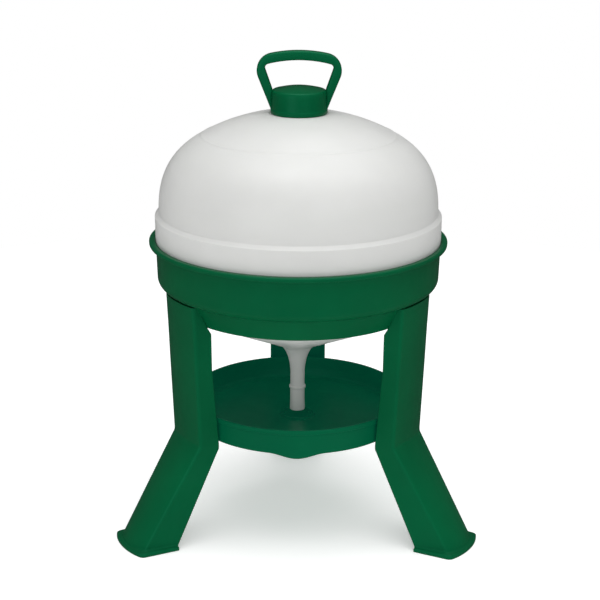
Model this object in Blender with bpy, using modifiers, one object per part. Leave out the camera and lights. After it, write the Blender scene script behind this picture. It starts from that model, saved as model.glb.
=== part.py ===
"""Top-filled siphon drinker for poultry: a domed water tank in a three-legged stand over a drinking tray.

Frame: metres, +Z up, the ground at z = 0, the gap between the two front legs facing -Y, and the
origin in the middle of the space that the drinker takes up on the ground. The rear foot reaches
further out than the ring does in front, so the tank's axis stands a little in front of the origin.
"""
import bpy
import bmesh
import math
from mathutils import Matrix, Vector

# ---- driving dimensions -------------------------------------------------------------------------
GAP = 0.0004                    # between neighbouring pieces
WALL = 0.003                    # moulded wall of the shells
SHELL_STEPS = 36                # facets round the large turned shells
SMALL_STEPS = 24                # facets round the small turned pieces

LEG_AZIMUTHS = {"leg_front_left": 210.0, "leg_front_right": 330.0, "leg_rear": 90.0}
LOBE_AZIMUTHS = (30.0, 150.0, 270.0)

# support ring
FLANGE_RADIUS = 0.2110
FLANGE_TOP = 0.4182
RING_RADIUS = 0.1998            # outside of the wall at its foot
RING_DRAFT = 0.0012             # how much wider the wall is under the flange
ROLL_RADIUS = 0.0130            # where the wall rolls in under itself
ROLL_HEIGHT = 0.3648
BAND_TOP_RADIUS = 0.1848
BAND_TOP = 0.3516
BAND_FOOT_RADIUS = 0.1710
BAND_FOOT = 0.3200

# tank
CROWN_RADIUS = 0.2887           # of the sphere that the crown is part of
CROWN_EDGE = 0.1355             # where the crown meets the shoulder
CROWN_EDGE_HEIGHT = 0.5650
WAIST_RADIUS = 0.1965           # below the shoulder, above the belt
WAIST_HEIGHT = 0.4625
SHOULDER_PULL_TOP = 0.0402      # handles of the shoulder's curve
SHOULDER_PULL_FOOT = 0.0548
BELT_RADIUS = 0.2019
BELT_HEIGHT = 0.4510
FUNNEL_RIM_RADIUS = 0.1630
FUNNEL_RIM = 0.3182
FUNNEL_FOOT_RADIUS = 0.0300
FUNNEL_FOOT = 0.2600
TUBE_RADIUS = 0.0104
BEAD_RADIUS = 0.0120
BEAD_FOOT = 0.1910

# neck, cap and thread
NECK_RADIUS = 0.0315
NECK_BORE = 0.0285
NECK_TOP = 0.6191
COLLAR_RADIUS = 0.0410          # of the flat seat round the neck
COLLAR_TOP = 0.5950
CAP_FOOT = COLLAR_TOP + GAP
CAP_FOOT_RADIUS = 0.0397
CAP_SHOULDER_RADIUS = 0.0365
CAP_SHOULDER = 0.6276
CAP_CROWN = 0.6332
CAP_BORE = 0.0350
CAP_ROOF = 0.6234
THREAD_PITCH = 0.0060
THREAD_TURNS = 1.5
THREAD_DEPTH = 0.0014           # radius of the rounded thread
NECK_THREAD_START = 0.6040

# handle of the cap
HANDLE_TOP = 0.6820
HANDLE_DEPTH = 0.0150
HANDLE_ROUND = 0.0010
HANDLE_CORNER = 0.0676          # where the handle's side and arch would meet
HANDLE_CORNER_ROUND = 0.0240
HANDLE_ARCH_RADIUS = 0.1900
HANDLE_BAR = 0.0132             # thickness at the middle of the arch
HANDLE_GAP_RADIUS = 0.1750      # arch of the finger gap
HANDLE_GAP_CORNER = 0.0486
HANDLE_GAP_ROUND = 0.0055

# outlet
SPIGOT_RADIUS = 0.0080
SPIGOT_FOOT = 0.1718
SPIGOT_BORE = 0.0056
SLEEVE_TOP = BEAD_FOOT - GAP
SLEEVE_FOOT = 0.1578
SLEEVE_WEB_TOP = 0.1714
PORT_OUTER = 0.0044
PORT_INNER = 0.0010
PORT_SPAN = 70.0

# tray
TRAY_RIM_RADIUS = 0.1554
TRAY_TOP = 0.1844
TRAY_WALL_RADIUS = 0.1526
TRAY_FOOT = 0.1480
TRAY_FLOOR = 0.1490             # top of the floor at its middle
HUB_RADIUS = 0.0240
LOBE_DEPTH = 0.0068
LOBE_HALF_WIDTH = 0.0400

# legs: face is the outer corner, edge is the channel's free edge
LEG_HALF_WIDTH = 0.0422
LEG_CORNER = 0.0050
LEG_CROWN = 0.0047
SHELF_TOP = TRAY_FOOT - GAP
SOLE_INNER = 0.2170
SOLE_INNER_HALF = 0.0470
SOLE_SIDE_HALF = 0.0440         # half width where a side would meet the nose
SOLE_NOSE = 0.2820
SOLE_NOSE_RADIUS = 0.1150
SOLE_CORNER_ROUND = 0.0090
SOLE_THICKNESS = 0.0062
SOLE_ROUND = 0.0012

AXIS_Y = (FLANGE_RADIUS - SOLE_NOSE) / 2

GREEN = (0.004, 0.104, 0.040)
GREEN_DARK = (0.003, 0.090, 0.036)
WHITE = (0.72, 0.72, 0.69)


# ---- helpers ------------------------------------------------------------------------------------
def clear_scene():
    for obj in list(bpy.data.objects):
        bpy.data.objects.remove(obj, do_unlink=True)


def new_collection(name):
    collection = bpy.data.collections.new(name)
    bpy.context.scene.collection.children.link(collection)
    return collection


def plastic(name, color, roughness):
    material = bpy.data.materials.new(name)
    material.use_nodes = True
    shader = material.node_tree.nodes["Principled BSDF"]
    shader.inputs["Base Color"].default_value = (*color, 1.0)
    shader.inputs["Roughness"].default_value = roughness
    shader.inputs["Metallic"].default_value = 0.0
    material.diffuse_color = (*color, 1.0)
    return material


def add_object(name, data, collection, material=None):
    obj = bpy.data.objects.new(name, data)
    collection.objects.link(obj)
    if material:
        data.materials.append(material)
    return obj


def add_cutter(name, data):
    """A helper body that other pieces are cut by or joined with."""
    obj = add_object(name, data, CUTTERS)
    obj.hide_render = True
    obj.display_type = "WIRE"
    return obj


def smooth(mesh, angle=35.0):
    mesh.shade_smooth()
    mesh.set_sharp_from_angle(angle=math.radians(angle))


def add_empty(name, location, parent=None):
    empty = bpy.data.objects.new(name, None)
    empty.location = location
    empty.parent = parent
    empty.empty_display_size = 0.03
    PARTS.objects.link(empty)
    return empty


def hang_on(piece, axis):
    """Hang a piece, modelled about x = y = 0 at its own height, on an empty that marks its axis."""
    piece.parent = axis
    piece.matrix_parent_inverse = Matrix.Translation((0.0, 0.0, -axis.location.z))


def arc(centre, radius, start, end, count):
    """Points of a circular arc, angles in degrees."""
    points = []
    for i in range(count):
        angle = math.radians(start + (end - start) * i / (count - 1))
        points.append((centre[0] + radius * math.cos(angle), centre[1] + radius * math.sin(angle)))
    return points


def bezier(p0, p1, p2, p3, count):
    points = []
    for i in range(count):
        t = i / (count - 1)
        weights = ((1 - t) ** 3, 3 * t * (1 - t) ** 2, 3 * t * t * (1 - t), t ** 3)
        points.append(tuple(sum(w * p[k] for w, p in zip(weights, (p0, p1, p2, p3))) for k in (0, 1)))
    return points


def offset_inward(line, distance):
    """A line that runs down an outer side, moved towards the inside by a constant wall."""
    moved = []
    for i, point in enumerate(line):
        before = Vector(line[max(i - 1, 0)])
        after = Vector(line[min(i + 1, len(line) - 1)])
        here = Vector(point)
        normals = []
        for step in (here - before, after - here):
            if step.length > 0:
                normals.append(Vector((step.y, -step.x)).normalized())
        mean = sum(normals, Vector((0.0, 0.0))).normalized()
        moved.append(tuple(here + mean * distance / max(mean.dot(normals[0]), 0.5)))
    return moved


def fillet(before, corner, after, radius, count):
    """A corner of a flat outline, rounded."""
    corner = Vector(corner)
    to_before = (Vector(before) - corner).normalized()
    to_after = (Vector(after) - corner).normalized()
    half = to_before.angle(to_after) / 2
    centre = corner + (to_before + to_after).normalized() * radius / math.sin(half)
    start = corner + to_before * radius / math.tan(half) - centre
    end = corner + to_after * radius / math.tan(half) - centre
    sweep = start.angle_signed(end)
    points = []
    for i in range(count):
        turn = Matrix.Rotation(-sweep * i / (count - 1), 2)
        points.append(tuple(centre + turn @ start))
    return points


def turned_mesh_object(name, outline, steps, add, closed):
    """Turn an outline of (radius, height) points about Z with a Screw modifier."""
    verts = [(radius, 0.0, height) for radius, height in outline]
    edges = [(i, i + 1) for i in range(len(verts) - 1)]
    if closed:
        edges.append((len(verts) - 1, 0))
    mesh = bpy.data.meshes.new(name)
    mesh.from_pydata(verts, edges, [])
    obj = add(name, mesh)
    screw = obj.modifiers.new("turn", "SCREW")
    screw.steps = steps
    screw.render_steps = steps
    screw.use_merge_vertices = True
    screw.merge_threshold = 0.00001
    screw.use_smooth_shade = True
    return obj


def turned(name, outline, steps, material, closed=True):
    def add_part(part_name, mesh):
        return add_object(part_name, mesh, PARTS, material)
    return turned_mesh_object(name, outline, steps, add_part, closed)


def lofted(name, rows, closed_rows, capped):
    """A mesh through rows of equally many points."""
    bm = bmesh.new()
    grid = [[bm.verts.new(point) for point in row] for row in rows]
    columns = len(rows[0]) if closed_rows else len(rows[0]) - 1
    for upper, lower in zip(grid, grid[1:]):
        for i in range(columns):
            j = (i + 1) % len(upper)
            bm.faces.new((upper[i], lower[i], lower[j], upper[j]))
    if capped:
        bm.faces.new(grid[0])
        bm.faces.new(list(reversed(grid[-1])))
    bmesh.ops.recalc_face_normals(bm, faces=bm.faces)
    mesh = bpy.data.meshes.new(name)
    bm.to_mesh(mesh)
    bm.free()
    return mesh


def flat_outline_mesh(name, outlines, thickness, rounding=0.0):
    """A flat outline with optional holes, made solid by extruding a 2D curve, as a welded mesh."""
    curve = bpy.data.curves.new(name, "CURVE")
    curve.dimensions = "2D"
    curve.fill_mode = "BOTH"
    curve.extrude = thickness / 2 - rounding
    curve.bevel_depth = rounding
    curve.bevel_resolution = 1
    curve.offset = -rounding
    for outline in outlines:
        spline = curve.splines.new("POLY")
        spline.points.add(len(outline) - 1)
        for point, (x, y) in zip(spline.points, outline):
            point.co = (x, y, 0.0, 1.0)
        spline.use_cyclic_u = True
    return welded_mesh(name, curve)


def welded_mesh(name, curve):
    """The mesh of a curve, with its caps welded on."""
    holder = bpy.data.objects.new(name + "_curve", curve)
    bpy.context.scene.collection.objects.link(holder)
    depsgraph = bpy.context.evaluated_depsgraph_get()
    mesh = bpy.data.meshes.new_from_object(holder.evaluated_get(depsgraph))
    bpy.data.objects.remove(holder, do_unlink=True)
    bpy.data.curves.remove(curve)
    bm = bmesh.new()
    bm.from_mesh(mesh)
    bmesh.ops.remove_doubles(bm, verts=bm.verts, dist=0.00001)
    bmesh.ops.recalc_face_normals(bm, faces=bm.faces)
    bm.to_mesh(mesh)
    bm.free()
    mesh.name = name
    return mesh


def helix_mesh(name, radius, start_height):
    """A rounded right-hand thread, which climbs as it goes anticlockwise."""
    points_per_turn = 16
    curve = bpy.data.curves.new(name, "CURVE")
    curve.dimensions = "3D"
    curve.bevel_depth = THREAD_DEPTH
    curve.bevel_resolution = 1
    curve.use_fill_caps = True
    spline = curve.splines.new("POLY")
    count = int(points_per_turn * THREAD_TURNS) + 1
    spline.points.add(count - 1)
    for i, point in enumerate(spline.points):
        turn = (i + 0.5) / points_per_turn
        angle = 2 * math.pi * turn
        height = start_height + THREAD_PITCH * turn
        point.co = (radius * math.cos(angle), radius * math.sin(angle), height, 1.0)
    return welded_mesh(name, curve)


def combine(target, other, operation):
    modifier = target.modifiers.new(operation.lower() + "_" + other.name, "BOOLEAN")
    modifier.operation = operation
    modifier.solver = "EXACT"
    modifier.object = other


def turn_about_z(obj, azimuth):
    obj.rotation_euler = (0.0, 0.0, math.radians(azimuth))


def evaluated_mesh(obj, name):
    """The mesh that an object's modifiers give."""
    bpy.context.view_layer.update()
    depsgraph = bpy.context.evaluated_depsgraph_get()
    mesh = bpy.data.meshes.new_from_object(obj.evaluated_get(depsgraph))
    mesh.name = name
    return mesh


# ---- support ring -------------------------------------------------------------------------------
def ring_outline():
    wall_top = RING_RADIUS + RING_DRAFT
    flange = [(FLANGE_RADIUS - 0.0090, FLANGE_TOP - 0.0012),
              (FLANGE_RADIUS - 0.0080, FLANGE_TOP),
              (FLANGE_RADIUS - 0.0038, FLANGE_TOP - 0.0002),
              (FLANGE_RADIUS - 0.0009, FLANGE_TOP - 0.0008),
              (FLANGE_RADIUS, FLANGE_TOP - 0.0022),
              (FLANGE_RADIUS - 0.0004, FLANGE_TOP - 0.0044),
              (FLANGE_RADIUS - 0.0034, FLANGE_TOP - 0.0064),
              (wall_top + 0.0014, FLANGE_TOP - 0.0082),
              (wall_top, FLANGE_TOP - 0.0108)]
    roll_centre = (RING_RADIUS - ROLL_RADIUS, ROLL_HEIGHT)
    roll = arc(roll_centre, ROLL_RADIUS, 0, -90, 6)
    band = [(BAND_TOP_RADIUS, BAND_TOP), (BAND_FOOT_RADIUS, BAND_FOOT)]
    band_inside = offset_inward(band, WALL)
    inner_roll = arc(roll_centre, ROLL_RADIUS - WALL, -90, 0, 5)
    seat = [(RING_RADIUS - 0.0036, FLANGE_TOP - 0.0150),
            (RING_RADIUS - 0.0008, FLANGE_TOP - 0.0080),
            (RING_RADIUS + 0.0020, FLANGE_TOP - 0.0022)]
    return flange + roll + band + [band_inside[1], band_inside[0]] + inner_roll + seat


def leg_boss_mesh():
    """The block that a leg's channel slides up over, as wide as the channel's inside."""
    outer = RING_RADIUS - 0.0130
    half_angle = math.degrees(math.asin((LEG_HALF_WIDTH - WALL - 0.0030) / outer))
    outline = arc((0.0, 0.0), outer, -half_angle, half_angle, 7)
    outline += arc((0.0, 0.0), BAND_FOOT_RADIUS - 0.006, half_angle, -half_angle, 7)
    height = BAND_TOP + 0.0014 - (BAND_FOOT + 0.003)
    mesh = flat_outline_mesh("leg_boss", [outline], height)
    mesh.transform(Matrix.Translation((0.0, 0.0, BAND_FOOT + 0.003 + height / 2)))
    return mesh


def bowl_cutter():
    """The space inside the ring's band, to the middle of its wall."""
    band = [(BAND_TOP_RADIUS, BAND_TOP + 0.004), (BAND_TOP_RADIUS, BAND_TOP),
            (BAND_FOOT_RADIUS, BAND_FOOT), (BAND_FOOT_RADIUS, BAND_FOOT - 0.004)]
    middle = offset_inward(band, WALL / 2)
    outline = [(0.0, middle[0][1])] + middle + [(0.0, middle[-1][1])]
    return turned_mesh_object("bowl_cutter", outline, SHELL_STEPS, add_cutter, closed=False)


def build_support_ring():
    ring = turned("support_ring", ring_outline(), SHELL_STEPS, plastic("ring_green", GREEN, 0.38))
    inside = bowl_cutter()
    boss = leg_boss_mesh()
    for name, azimuth in LEG_AZIMUTHS.items():
        block = add_cutter("boss_" + name, boss.copy())
        turn_about_z(block, azimuth)
        combine(block, inside, "DIFFERENCE")
        combine(ring, block, "UNION")
    return ring


# ---- legs ---------------------------------------------------------------------------------------
def channel_row(face, edge, half_width=LEG_HALF_WIDTH, edge_half_width=LEG_HALF_WIDTH, crown=LEG_CROWN):
    """One row across a leg's channel: up one flank, round the outer face and back along the other flank.

    face and edge are the (radius, height) of the outer corner and of the free edge.
    """
    flat = half_width - LEG_CORNER
    slope = math.degrees(math.atan(2 * crown / flat))
    corner = arc((face[0] - LEG_CORNER, flat), LEG_CORNER, 90, slope, 3)
    half = [(edge[0], edge_half_width)] + corner
    reach, side = corner[-1]
    for step in (0.66, 0.33):
        across = side * step
        half.append((reach + crown * (1 - step ** 2), across))
    middle = [(reach + crown, 0.0)]
    plan = half + middle + [(radius, -across) for radius, across in reversed(half)]
    row = []
    for radius, across in plan:
        blend = min(max((radius - edge[0]) / (face[0] - edge[0]), 0.0), 1.0)
        row.append((radius, across, edge[1] + (face[1] - edge[1]) * blend))
    return row


def leg_rows():
    """Rows from the top, under the ring's roll, down past the bend to the sole."""
    top = BAND_TOP - GAP
    foot = dict(half_width=0.0370, edge_half_width=0.0424, crown=0.0095)
    return [channel_row((0.1897, top), (0.1810, top)),
            channel_row((0.1882, BAND_FOOT), (0.1670, BAND_FOOT)),
            channel_row((0.1876, 0.3100), (0.1610, 0.3100)),
            channel_row((0.1855, 0.2570), (0.1604, 0.2570)),
            channel_row((0.1809, 0.1560), (0.1513, 0.1500)),
            channel_row((0.1807, 0.1474), (0.1510, 0.1390)),
            channel_row((0.2643, 0.0110), (0.2160, 0.0080), **foot),
            channel_row((0.2690, 0.0030), (0.2184, 0.0030), **foot)]


def sole_row(height, inset):
    """Outline of the foot at one height, drawn in all round by the inset."""
    nose_radius = SOLE_NOSE_RADIUS - inset
    nose_middle = SOLE_NOSE - SOLE_NOSE_RADIUS
    side_half = SOLE_SIDE_HALF - inset
    root = (SOLE_INNER + inset, SOLE_INNER_HALF - inset)
    corner = (nose_middle + math.sqrt(nose_radius ** 2 - side_half ** 2), side_half)
    nose = arc((nose_middle, 0.0), nose_radius, 15.0, -15.0, 9)
    near = [root] + fillet(root, corner, nose[0], SOLE_CORNER_ROUND - inset, 4)
    far = [(radius, -across) for radius, across in reversed(near)]
    return [(radius, across, height) for radius, across in near + nose + far]


def shelf_mesh():
    """The web across the channel that the tray rests on."""
    thickness = 0.0030
    back = arc((0.1000, 0.0), 0.0829, 24.0, -24.0, 7)
    front = [(0.1720, -0.0407), (0.1520, -0.0407), (0.1485, -0.0200), (0.1478, 0.0),
             (0.1485, 0.0200), (0.1520, 0.0407), (0.1720, 0.0407)]
    mesh = flat_outline_mesh("shelf", [back + front], thickness)
    mesh.transform(Matrix.Translation((0.0, 0.0, SHELF_TOP - thickness / 2)))
    return mesh


def leg_mesh():
    """One leg along +X, as an open channel with a shelf and a flat foot."""
    channel = add_cutter("leg_channel", lofted("leg_channel", leg_rows(), closed_rows=False, capped=False))
    wall = channel.modifiers.new("wall", "SOLIDIFY")
    wall.thickness = WALL
    wall.offset = -1.0 if channel_faces_out(channel.data) else 1.0
    wall.use_even_offset = True
    sole_rows = [sole_row(0.0, 0.0), sole_row(SOLE_THICKNESS - SOLE_ROUND, 0.0),
                 sole_row(SOLE_THICKNESS, SOLE_ROUND)]
    foot = add_cutter("leg_foot", lofted("leg_foot", sole_rows, closed_rows=True, capped=True))
    shelf = add_cutter("leg_shelf", shelf_mesh())
    combine(channel, foot, "UNION")
    combine(channel, shelf, "UNION")
    mesh = evaluated_mesh(channel, "leg")
    smooth(mesh)
    return mesh


def channel_faces_out(mesh):
    """Whether the outer face's normals point away from the axis."""
    middle = max(mesh.polygons, key=lambda face: face.center.x)
    return middle.normal.x > 0


def build_legs():
    mesh = leg_mesh()
    mesh.materials.append(plastic("leg_green", GREEN, 0.40))
    legs = []
    for name, azimuth in LEG_AZIMUTHS.items():
        leg = add_object(name, mesh, PARTS)
        turn_about_z(leg, azimuth)
        legs.append(leg)
    return legs


# ---- tray ---------------------------------------------------------------------------------------
def tray_outline():
    rim = [(TRAY_RIM_RADIUS - 0.0040, TRAY_TOP - 0.0010),
           (TRAY_RIM_RADIUS - 0.0026, TRAY_TOP),
           (TRAY_RIM_RADIUS - 0.0010, TRAY_TOP - 0.0004),
           (TRAY_RIM_RADIUS, TRAY_TOP - 0.0018),
           (TRAY_RIM_RADIUS, TRAY_TOP - 0.0052),
           (TRAY_RIM_RADIUS - 0.0006, TRAY_TOP - 0.0064),
           (TRAY_WALL_RADIUS + 0.0009, TRAY_TOP - 0.0070)]
    underside = [(TRAY_WALL_RADIUS, TRAY_FOOT + 0.0030), (TRAY_WALL_RADIUS - 0.0009, TRAY_FOOT + 0.0007),
                 (TRAY_WALL_RADIUS - 0.0022, TRAY_FOOT), (TRAY_WALL_RADIUS - 0.0060, TRAY_FOOT),
                 (TRAY_WALL_RADIUS - 0.0080, TRAY_FOOT + 0.0022),
                 (HUB_RADIUS + 0.001, TRAY_FLOOR - WALL + 0.0004), (0.0, TRAY_FLOOR - WALL)]
    hub = [(0.0, TRAY_FLOOR), (HUB_RADIUS - 0.0036, TRAY_FLOOR), (HUB_RADIUS - 0.0028, TRAY_FLOOR + 0.0026),
           (HUB_RADIUS - 0.0014, TRAY_FLOOR + 0.0032), (HUB_RADIUS, TRAY_FLOOR + 0.0026),
           (HUB_RADIUS + 0.0010, TRAY_FLOOR + 0.0003)]
    floor = [(0.1380, TRAY_FLOOR + 0.0034), (0.1450, TRAY_FLOOR + 0.0046), (0.1486, TRAY_FLOOR + 0.0086),
             (TRAY_WALL_RADIUS - 0.0026, TRAY_FLOOR + 0.0160),
             (TRAY_WALL_RADIUS - 0.0018, TRAY_TOP - 0.0064)]
    return hub + floor + rim + underside


def lobe_mesh():
    """A finger lobe under the tray's edge, along +X, which fades into the wall at both ends."""
    rows = []
    count = 9
    for i in range(count):
        along = -1 + 2 * i / (count - 1)
        angle = along * LOBE_HALF_WIDTH / TRAY_WALL_RADIUS
        foot = TRAY_FOOT + 0.0008 - (LOBE_DEPTH + 0.0008) * math.cos(along * math.pi / 2) ** 2
        section = [(TRAY_WALL_RADIUS - 0.0003, TRAY_FOOT + 0.0022), (TRAY_WALL_RADIUS - 0.0004, foot),
                   (TRAY_WALL_RADIUS - 0.0028, foot), (TRAY_WALL_RADIUS - 0.0030, TRAY_FOOT + 0.0022)]
        rows.append([(radius * math.cos(angle), radius * math.sin(angle), height)
                     for radius, height in section])
    return lofted("tray_lobe", rows, closed_rows=True, capped=True)


def build_tray():
    green = plastic("tray_green", GREEN_DARK, 0.36)
    tray = turned("drinking_tray", tray_outline(), SHELL_STEPS, green, closed=False)
    lobe = lobe_mesh()
    for azimuth in LOBE_AZIMUTHS:
        grip = add_cutter("lobe_%03d" % azimuth, lobe.copy())
        turn_about_z(grip, azimuth)
        combine(tray, grip, "UNION")
    return tray


# ---- tank ---------------------------------------------------------------------------------------
def dome_line():
    """Outside of the tank from the seat round the neck to the belt."""
    sphere_centre = CROWN_EDGE_HEIGHT - math.sqrt(CROWN_RADIUS ** 2 - CROWN_EDGE ** 2)
    collar_foot = COLLAR_RADIUS + 0.0010
    line = [(COLLAR_RADIUS, COLLAR_TOP), (COLLAR_RADIUS + 0.0006, COLLAR_TOP + 0.0005)]
    count = 4
    for i in range(count):
        radius = collar_foot + (CROWN_EDGE - collar_foot) * i / count
        line.append((radius, sphere_centre + math.sqrt(CROWN_RADIUS ** 2 - radius ** 2)))
    slope = Vector((math.sqrt(CROWN_RADIUS ** 2 - CROWN_EDGE ** 2), -CROWN_EDGE)).normalized()
    start = Vector((CROWN_EDGE, CROWN_EDGE_HEIGHT))
    foot = Vector((WAIST_RADIUS, WAIST_HEIGHT))
    line += bezier(start, start + slope * SHOULDER_PULL_TOP,
                   foot + Vector((0.0, SHOULDER_PULL_FOOT)), foot, 8)
    return line


def lower_tank_line():
    """Outside of the tank from the belt, down inside the ring, to the end of the outlet tube."""
    belt = [(WAIST_RADIUS + 0.0006, BELT_HEIGHT + 0.0066), (BELT_RADIUS - 0.0010, BELT_HEIGHT + 0.0026),
            (BELT_RADIUS, BELT_HEIGHT),
            (BELT_RADIUS - 0.0002, FLANGE_TOP + 0.0030), (BELT_RADIUS - 0.0007, FLANGE_TOP - 0.0012),
            (0.1984, FLANGE_TOP - 0.0076), (0.1960, FLANGE_TOP - 0.0134),
            (0.1936, FLANGE_TOP - 0.0175)]
    seat = [(0.1924, 0.3680), (0.1912, 0.3624), (0.1882, 0.3584), (0.1846, 0.3568)]
    ring_band = [(BAND_TOP_RADIUS, BAND_TOP + 0.0004), (BAND_FOOT_RADIUS, BAND_FOOT)]
    band = offset_inward(ring_band, WALL + 0.0006)
    funnel = [(FUNNEL_RIM_RADIUS + 0.0030, FUNNEL_RIM + 0.0020), (FUNNEL_RIM_RADIUS, FUNNEL_RIM),
              (FUNNEL_FOOT_RADIUS, FUNNEL_FOOT)]
    trumpet = [(0.0262, 0.2570), (0.0194, 0.2490), (0.0145, 0.2390), (0.0119, 0.2290),
               (TUBE_RADIUS, 0.2180)]
    return belt + seat + band + funnel + trumpet


def outlet_line():
    """The bead and the stepped spigot below it, then back up the bore."""
    groove_top = BEAD_FOOT - 0.0042
    bead = [(TUBE_RADIUS, BEAD_FOOT + 0.0048), (BEAD_RADIUS, BEAD_FOOT + 0.0034),
            (BEAD_RADIUS, BEAD_FOOT + 0.0010), (BEAD_RADIUS - 0.0009, BEAD_FOOT)]
    spigot = [(SPIGOT_RADIUS, BEAD_FOOT), (SPIGOT_RADIUS, groove_top), (SPIGOT_RADIUS - 0.0013, groove_top),
              (SPIGOT_RADIUS - 0.0013, groove_top - 0.0022), (SPIGOT_RADIUS, groove_top - 0.0022),
              (SPIGOT_RADIUS, SPIGOT_FOOT + 0.0066), (SPIGOT_RADIUS + 0.0005, SPIGOT_FOOT + 0.0056),
              (SPIGOT_RADIUS + 0.0005, SPIGOT_FOOT + 0.0046), (SPIGOT_RADIUS - 0.0001, SPIGOT_FOOT + 0.0034),
              (SPIGOT_RADIUS - 0.0001, SPIGOT_FOOT)]
    bore = [(SPIGOT_BORE, SPIGOT_FOOT), (SPIGOT_BORE, BEAD_FOOT + 0.0090), (TUBE_RADIUS - 0.0025, 0.2060)]
    return bead + spigot + bore


def build_tank():
    shell = dome_line() + lower_tank_line()
    inside = offset_inward(shell, WALL)
    neck_inside = [(NECK_BORE, COLLAR_TOP - 0.0030), (NECK_BORE, NECK_TOP)]
    neck_outside = [(NECK_RADIUS - 0.0006, NECK_TOP), (NECK_RADIUS, NECK_TOP - 0.0006),
                    (NECK_RADIUS, COLLAR_TOP)]
    hidden = len([point for point in inside if point[0] < COLLAR_RADIUS and point[1] > BELT_HEIGHT])
    outline = neck_outside + shell + outlet_line() + list(reversed(inside[hidden:])) + neck_inside
    tank = turned("tank", outline, SHELL_STEPS, plastic("tank_white", WHITE, 0.34))
    thread = add_cutter("neck_thread", helix_mesh("neck_thread", NECK_RADIUS + 0.0005, NECK_THREAD_START))
    combine(tank, thread, "UNION")
    return tank


# ---- cap, handle and gasket ---------------------------------------------------------------------
def cap_outline():
    rise = CAP_CROWN - CAP_SHOULDER
    crown_radius = (CAP_SHOULDER_RADIUS ** 2 + rise ** 2) / (2 * rise)
    reach = math.degrees(math.asin(CAP_SHOULDER_RADIUS / crown_radius))
    crown = arc((0.0, CAP_CROWN - crown_radius), crown_radius, 90, 90 - reach, 6)
    crown[0] = (0.0, CAP_CROWN)
    side = [(CAP_SHOULDER_RADIUS + 0.0013, CAP_SHOULDER - 0.0010),
            (CAP_SHOULDER_RADIUS + 0.0019, CAP_SHOULDER - 0.0026),
            (CAP_FOOT_RADIUS - 0.0008, CAP_FOOT + 0.0068), (CAP_FOOT_RADIUS, CAP_FOOT + 0.0050),
            (CAP_FOOT_RADIUS, CAP_FOOT + 0.0012), (CAP_FOOT_RADIUS - 0.0006, CAP_FOOT)]
    inside = [(CAP_BORE + 0.0010, CAP_FOOT), (CAP_BORE, CAP_FOOT + 0.0014), (CAP_BORE, CAP_ROOF),
              (0.0245, CAP_ROOF), (0.0225, CAP_ROOF + 0.0018), (0.0, CAP_CROWN - WALL - 0.0004)]
    return crown + side + inside


def arch_height(top, radius, x):
    """Height of an arch at a distance from its middle."""
    return top - radius + math.sqrt(radius ** 2 - x ** 2)


def handle_outline():
    """Trapezoid loop with an arched top, seen along Y; its feet end inside the cap's wall."""
    foot = CAP_FOOT + 0.0030
    arch_end = 0.0375
    arch_reach = 0.0330
    end_height = arch_height(HANDLE_TOP, HANDLE_ARCH_RADIUS, arch_end)
    tangent = arch_end / math.sqrt(HANDLE_ARCH_RADIUS ** 2 - arch_end ** 2)
    corner = (HANDLE_CORNER, end_height - tangent * (HANDLE_CORNER - arch_end))
    outer_foot = (CAP_FOOT_RADIUS - 0.0018, foot)
    outer_round = fillet(outer_foot, corner, (arch_end, end_height), HANDLE_CORNER_ROUND, 7)
    reach = math.degrees(math.asin(arch_reach / HANDLE_ARCH_RADIUS))
    arch = arc((0.0, HANDLE_TOP - HANDLE_ARCH_RADIUS), HANDLE_ARCH_RADIUS, 90 - reach, 90 + reach, 7)
    gap_top = HANDLE_TOP - HANDLE_BAR
    gap_reach = math.degrees(math.asin(arch_end / HANDLE_GAP_RADIUS))
    gap_arch = arc((0.0, gap_top - HANDLE_GAP_RADIUS), HANDLE_GAP_RADIUS, 90 + gap_reach, 90 - gap_reach, 7)
    knee = (CAP_BORE + 0.0016, CAP_SHOULDER)
    inner_foot = (CAP_BORE + 0.0006, foot)
    gap_corner = (HANDLE_GAP_CORNER, arch_height(gap_top, HANDLE_GAP_RADIUS, HANDLE_GAP_CORNER))
    gap_round = fillet(gap_arch[-1], gap_corner, knee, HANDLE_GAP_ROUND, 4)
    right_out = [outer_foot] + outer_round
    left_out = [(-x, z) for x, z in reversed(right_out)]
    right_in = gap_round + [knee, inner_foot]
    left_in = [(-x, z) for x, z in reversed(right_in)]
    return right_out + arch + left_out + left_in + gap_arch + right_in


def build_cap():
    cap = turned("filler_cap", cap_outline(), SHELL_STEPS, plastic("cap_green", GREEN, 0.36), closed=False)
    mesh = flat_outline_mesh("cap_handle", [handle_outline()], HANDLE_DEPTH, HANDLE_ROUND)
    mesh.transform(Matrix.Rotation(math.radians(90.0), 4, "X"))
    handle = add_cutter("cap_handle", mesh)
    thread_start = NECK_THREAD_START - THREAD_PITCH / 2
    thread = add_cutter("cap_thread", helix_mesh("cap_thread", CAP_BORE - 0.0007, thread_start))
    combine(cap, handle, "UNION")
    combine(cap, thread, "UNION")
    return cap


def build_gasket():
    low = NECK_TOP + GAP
    high = CAP_ROOF - GAP
    outline = [(0.0342, high), (0.0342, low), (0.0272, low), (0.0272, high)]
    return turned("cap_gasket", outline, SMALL_STEPS, plastic("gasket_rubber", (0.03, 0.03, 0.03), 0.6))


# ---- outlet -------------------------------------------------------------------------------------
def port_outlines():
    """Two opposite sectors."""
    outlines = []
    for azimuth in (90.0, 270.0):
        low, high = azimuth - PORT_SPAN / 2, azimuth + PORT_SPAN / 2
        outer = arc((0.0, 0.0), PORT_OUTER, low, high, 6)
        inner = arc((0.0, 0.0), PORT_INNER, high, low, 3)
        outlines.append(outer + inner)
    return outlines


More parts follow.
